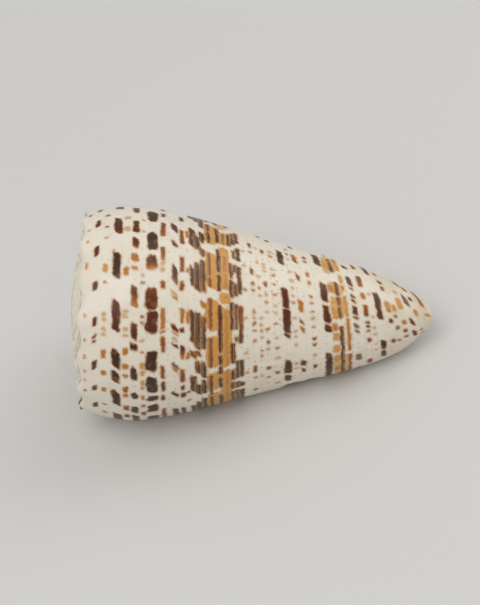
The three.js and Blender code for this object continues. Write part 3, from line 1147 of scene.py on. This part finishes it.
@dataclass(frozen=True)
class ShellFinish:
    """The shell's surface: cream ground, spiral marks, pale hollow and a soft polish."""

    cream: tuple = (0.790, 0.725, 0.615)
    shade: tuple = (0.700, 0.610, 0.470)
    sand: tuple = (0.640, 0.490, 0.300)
    worn: tuple = (0.640, 0.500, 0.370)
    blotch: tuple = (0.085, 0.036, 0.020)
    pearl: tuple = (0.860, 0.810, 0.740)
    stain: tuple = (0.420, 0.260, 0.200)
    dots: tuple = (0.560, 0.250, 0.045)
    thread: tuple = (0.680, 0.480, 0.250)
    roughness: float = 0.36
    specular: float = 0.34
    coat: float = 0.08
    coat_roughness: float = 0.18
    bump: float = 0.12
    bump_distance: float = 0.0002
    sag: float = 0.034
    sag_start: float = 0.36
    sag_turn: float = 1.62
    dot_rows: float = 54.0
    dot_pace: float = 150.0
    thread_pace: float = 210.0
    growth_lines: float = 420.0
    seed_step: float = 3.7

    def zone(self, bench: Bench, level: Socket, ends: tuple) -> Socket:
        """Gives 1 inside a stretch of the side and 0 outside it.

        Args:
            bench: the material's bench.
            level: share of the length.
            ends: where the stretch starts, is whole, starts to end and ends.

        Returns:
            The stretch as a mask.
        """
        start = bench.step(level, ends[0], ends[1])
        return bench.math("MULTIPLY", start, bench.step(level, ends[2], ends[3], 1.0, 0.0))

    def streaked(self, bench: Bench, spot: Spot, colour: Socket) -> Socket:
        """Draws thin pale threads through the two bands.

        Args:
            bench: the material's bench.
            spot: the place on the shell.
            colour: the colour below.

        Returns:
            The colour with the threads through it.
        """
        first = self.zone(bench, spot.drawn_level, (0.350, 0.365, 0.485, 0.505))
        second = self.zone(bench, spot.drawn_level, (0.745, 0.755, 0.800, 0.812))
        bands = bench.math("ADD", first, second)
        thread = bench.step(bench.line_noise(spot.drawn_level, self.thread_pace, 0.0), 0.50, 0.66)
        share = bench.math("MULTIPLY", thread, bands)
        share = bench.math("MULTIPLY", share, bench.step(spot.rough, 0.3, 0.6, 0.06, 0.24))
        return bench.mix(share, colour, self.thread)

    def dotted(self, bench: Bench, spot: Spot, colour: Socket, share: Socket) -> Socket:
        """Strews fine amber dots in close rows over the side.

        Args:
            bench: the material's bench.
            spot: the place on the shell.
            colour: the colour below.
            share: how far the dots show at a place.

        Returns:
            The colour with the dots on it.
        """
        level = spot.drawn_level
        line = bench.math("MULTIPLY", level, self.dot_rows)
        number = bench.math("FLOOR", line)
        off = bench.math("ABSOLUTE", bench.math("SUBTRACT", bench.math("FRACT", line), 0.5))
        along = bench.math("MULTIPLY_ADD", number, 17.31, spot.drawn_turn)
        chance = bench.line_noise(along, self.dot_pace, 0.0)
        dot = bench.step(chance, 0.61, 0.67)
        dot = bench.math("MULTIPLY", dot, bench.step(off, 0.05, 0.16, 1.0, 0.0))
        dot = bench.math("MULTIPLY", dot, bench.math("MULTIPLY_ADD", share, 0.5, 0.25))
        dot = bench.math("MULTIPLY", dot, bench.step(level, 0.1, 0.55, 0.35, 1.0))
        dot = bench.math("MULTIPLY", dot, bench.step(level, 0.03, 0.06))
        return bench.mix(dot, colour, self.dots)

    def spire(self, bench: Bench, spot: Spot, colour: Socket) -> tuple[Socket, Socket]:
        """Blotches the spire between its tubercles and wears its tip.

        The level is below 0 on the spire, and its whole part numbers the whorl.

        Args:
            bench: the material's bench.
            spot: the place on the shell.
            colour: the colour below.

        Returns:
            The colour, and the height of the fine spiral threads.
        """
        level, rough = spot.level, spot.rough
        whorl = bench.math("CEIL", level)
        back = bench.math("SUBTRACT", spot.turn, whorl)
        out = bench.math("MULTIPLY_ADD", bench.math("SUBTRACT", level, whorl), 10.0, 1.0)
        wave = bench.math("COSINE", bench.math("MULTIPLY", back, 2 * math.pi * Growth.tubercles))
        between = bench.math("MULTIPLY_ADD", rough, 1.2, bench.math("MULTIPLY", wave, 0.5))
        between = bench.step(between, 0.25, 0.75, 1.0, 0.0)
        chance = bench.step(bench.line_noise(back, 6.3), 0.46, 0.54)
        inner = bench.step(bench.math("MULTIPLY_ADD", rough, 0.5, out), 0.42, 0.55)
        outer = bench.step(bench.math("MULTIPLY_ADD", rough, 0.3, out), 0.86, 1.0, 1.0, 0.0)
        across = bench.math("MULTIPLY", inner, outer)
        on_spire = bench.step(level, -0.004, 0.0, 1.0, 0.0)
        tip = bench.math("MULTIPLY", bench.step(back, 3.2, 6.5, 0.0, 0.8), on_spire)
        colour = bench.mix(tip, colour, self.worn)
        dark = bench.math("MULTIPLY", between, chance)
        dark = bench.math("MULTIPLY", dark, bench.math("MULTIPLY", across, on_spire))
        colour = bench.mix(bench.math("MULTIPLY", dark, 0.92), colour, self.blotch)
        threads = bench.math("SINE", bench.math("MULTIPLY", out, 26.0))
        return colour, bench.math("MULTIPLY", bench.math("MULTIPLY", threads, on_spire), 0.35)

    def read(self, bench: Bench) -> Spot:
        """Reads the place on the shell from its "Spiral" map and its own coordinates.

        Args:
            bench: the material's bench.

        Returns:
            The place.
        """
        place = bench.node("ShaderNodeTexCoord").outputs["Object"]
        spiral = bench.node("ShaderNodeUVMap", uv_map="Spiral").outputs[0]
        split = bench.node("ShaderNodeSeparateXYZ")
        bench.feed(split.inputs[0], spiral)
        turn, level = split.outputs[0], split.outputs[1]
        grain = bench.noise(place, 1500, 1.0)
        rough = bench.noise(place, 620, 2.0)
        # Rows sag a little towards the apex away from the middle of the back.
        angle = bench.math("MULTIPLY_ADD", turn, 2 * math.pi, -self.sag_turn)
        sag = bench.math("SUBTRACT", 1.0, bench.math("COSINE", angle))
        front = bench.math("MAXIMUM", bench.math("SUBTRACT", level, self.sag_start), 0.0)
        bowed = bench.math("MULTIPLY", bench.math("MULTIPLY", sag, front), self.sag)
        bowed = bench.math("ADD", level, bowed)
        drawn_level = bench.math("ADD", bowed, bench.math("MULTIPLY_ADD", rough, 0.008, -0.004))
        drawn_turn = bench.math("ADD", turn, bench.math("MULTIPLY_ADD", rough, 0.010, -0.005))
        drawn_turn = bench.math("ADD", drawn_turn, bench.math("MULTIPLY_ADD", grain, 0.002, -0.001))
        tint = bench.noise(place, 160, 3.0, 0.6)
        return Spot(place, turn, level, grain, rough, tint, drawn_turn, drawn_level)

    def ground(self, bench: Bench, spot: Spot) -> Socket:
        """Makes the cream ground, sandier at the front end, with its fine dots.

        Args:
            bench: the material's bench.
            spot: the place on the shell.

        Returns:
            The ground's colour.
        """
        colour = bench.mix(bench.step(spot.tint, 0.45, 0.75, 0.0, 0.5), self.cream, self.shade)
        sandy = bench.step(spot.level, 0.84, 1.0)
        sandy = bench.math("MULTIPLY", sandy, bench.step(spot.tint, 0.35, 0.7, 0.1, 0.6))
        colour = bench.mix(sandy, colour, self.sand)
        share = bench.step(bench.noise(spot.place, 90, 1.0), 0.42, 0.62)
        return self.dotted(bench, spot, colour, share)

    def marked(self, bench: Bench, spot: Spot, colour: Socket) -> Socket:
        """Lays all the rows of marks, the grounds of the two bands first.

        Args:
            bench: the material's bench.
            spot: the place on the shell.
            colour: the colour below.

        Returns:
            The colour with the marks on it.
        """
        values = {"Under": colour, "Turn": spot.drawn_turn, "Level": spot.drawn_level}
        values["Blush"] = bench.step(spot.rough, 0.56, 0.70)
        values["Ragged"] = bench.math("MULTIPLY_ADD", spot.grain, 0.36, -0.20)
        values["Girth"] = bench.math("MULTIPLY_ADD", bench.noise(spot.place, 420, 1.0), 0.9, 0.6)
        # Millimetres to a degree round the axis, less towards the front end.
        values["Degree"] = bench.math("MULTIPLY_ADD", spot.level, -0.27, 0.41)
        painter = RowPainter(MarkEdge().group())
        grounds = FIRST_BAND[:2] + SECOND_BAND[:1]
        rows = grounds + SHOULDER_ROWS + FIRST_BAND[2:] + WHITE_ZONE + SECOND_BAND[1:]
        for number, row in enumerate(rows):
            node = bench.node("ShaderNodeGroup", node_tree=painter.group(row, self.seed_step * number))
            bench.feed_all(node, values)
            values["Under"] = node.outputs["Colour"]
        return values["Under"]

    def lined(self, bench: Bench, spot: Spot, colour: Socket) -> Socket:
        """Lines the hollow with porcelain, stained a little in patches.

        Args:
            bench: the material's bench.
            spot: the place on the shell.
            colour: the colour of the outside.

        Returns:
            The colour, inside and out.
        """
        inside = bench.step(spot.level, 1.5, 1.6)
        deep = bench.step(bench.noise(spot.place, 60, 2.0), 0.35, 0.7, 0.0, 0.35)
        return bench.mix(inside, colour, bench.mix(deep, self.pearl, self.stain))

    def polished(self, bench: Bench, spot: Spot, shader: bpy.types.Node, threads: Socket) -> None:
        """Sets the gloss and the fine relief.

        Args:
            bench: the material's bench.
            spot: the place on the shell.
            shader: the shader to set.
            threads: the height of the spire's threads.
        """
        smooth, dull = self.roughness - 0.06, self.roughness + 0.08
        bench.feed_all(shader, {
            "Roughness": bench.step(spot.tint, 0.2, 0.8, smooth, dull), "Subsurface Weight": 0.0,
            "Specular IOR Level": self.specular, "Coat Weight": self.coat,
            "Coat Roughness": self.coat_roughness})
        lines = bench.math("MULTIPLY", bench.line_noise(spot.turn, self.growth_lines, 3.0), 0.7)
        height = bench.math("ADD", lines, bench.math("MULTIPLY", spot.rough, 0.5))
        height = bench.math("ADD", height, threads)
        bump = bench.node("ShaderNodeBump")
        bench.feed_all(bump, {"Strength": self.bump, "Distance": self.bump_distance, "Height": height})
        bench.feed(shader.inputs["Normal"], bump.outputs[0])

    def material(self) -> bpy.types.Material:
        """Makes the shell's material.

        Returns:
            A material that reads the shell's "Spiral" map and its own place.
        """
        material = bpy.data.materials.new("cone_shell_surface")
        material.use_nodes = True
        shader = material.node_tree.nodes["Principled BSDF"]
        bench = Bench(material.node_tree)
        spot = self.read(bench)
        colour = self.marked(bench, spot, self.ground(bench, spot))
        colour = self.streaked(bench, spot, colour)
        colour, threads = self.spire(bench, spot, colour)
        bench.feed(shader.inputs["Base Color"], self.lined(bench, spot, colour))
        self.polished(bench, spot, shader, threads)
        return material


@dataclass(frozen=True)
class Studio:
    """The pale floor, the soft light and the camera."""

    distance: float = 400.0
    tilt: float = 1.5
    twist: float = 1.776
    middle: float = 37.0
    aim_x: float = 35.2
    aim_y: float = 1.713
    lens: float = 113.9
    floor_size: float = 6.0
    floor_drop: float = 0.0001
    floor_colour: tuple = (0.66, 0.65, 0.635, 1)
    room_colour: tuple = (1, 0.99, 0.97, 1)
    room_strength: float = 0.55
    lamp_size: float = 0.6
    lamps: tuple = (
        ("key_lamp", (-0.15, -0.35, 0.75), 2.5),
        ("fill_lamp", (0.5, 0.3, 0.6), 1.5),
    )

    def floor(self) -> None:
        """Lays a wide pale floor just under the shell."""
        bpy.ops.object.select_all(action="DESELECT")
        bpy.ops.mesh.primitive_plane_add(size=self.floor_size, location=(0, 0, -self.floor_drop))
        floor = bpy.context.active_object
        floor.name = "floor"
        material = bpy.data.materials.new("pale_floor")
        material.use_nodes = True
        shader = material.node_tree.nodes["Principled BSDF"]
        shader.inputs["Base Color"].default_value = self.floor_colour
        shader.inputs["Roughness"].default_value = 0.9
        floor.data.materials.append(material)

    def lamp(self, name: str, place: tuple, power: float) -> None:
        """Hangs one soft lamp that looks at the shell.

        Args:
            name: the lamp's name.
            place: where it hangs, in metres.
            power: its power in watts.
        """
        bpy.ops.object.light_add(type="AREA", location=place)
        lamp = bpy.context.active_object
        lamp.name = name
        lamp.data.size = self.lamp_size
        lamp.data.energy = power
        lamp.rotation_euler = (-Vector(place)).to_track_quat("-Z", "Y").to_euler()

    def light(self) -> None:
        """Sets the room's light and the lamps, shown in plain colours."""
        world = bpy.data.worlds.new("room")
        world.use_nodes = True
        background = world.node_tree.nodes["Background"]
        background.inputs["Color"].default_value = self.room_colour
        background.inputs["Strength"].default_value = self.room_strength
        bpy.context.scene.world = world
        bpy.context.scene.view_settings.view_transform = "Standard"
        for name, place, power in self.lamps:
            self.lamp(name, place, power)

    def camera(self, shell: ConeShell) -> None:
        """Sets the camera square to the shell's axis, with the lip low in view.

        Args:
            shell: the built shell.
        """
        tilt, twist = math.radians(self.tilt), math.radians(self.twist)
        right = Vector((math.cos(twist) * math.cos(tilt), math.sin(twist), math.cos(twist) * math.sin(tilt)))
        back = Vector((-math.sin(tilt), 0, math.cos(tilt)))
        along = Vector((math.cos(tilt), 0, math.sin(tilt)))
        place = along * (self.aim_x - self.middle) + back * self.distance
        place += Vector((self.middle, self.aim_y, 0))
        axes = Matrix((right, back.cross(right), back)).transposed()
        turn = shell.rest.turn().to_3x3() @ axes
        data = bpy.data.cameras.new("camera")
        data.lens = self.lens
        data.clip_start = 0.01
        camera = bpy.data.objects.new("camera", data)
        bpy.context.collection.objects.link(camera)
        camera.matrix_world = Matrix.Translation(shell.to_world(place)) @ turn.to_4x4()
        bpy.context.scene.camera = camera


def main() -> None:
    """Builds the shell and its studio."""
    logging.basicConfig(level=logging.INFO, format="%(name)s: %(message)s")
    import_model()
    shell = ConeShell()
    piece = shell.build()
    shell.dress(piece, ShellFinish())
    LOG.info("%s: %d faces", piece.name, len(piece.data.polygons))
    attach(piece, "root")
    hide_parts("shell")
    studio = Studio()
    studio.floor()
    studio.light()
    studio.camera(shell)


if __name__ == "__main__":
    main()
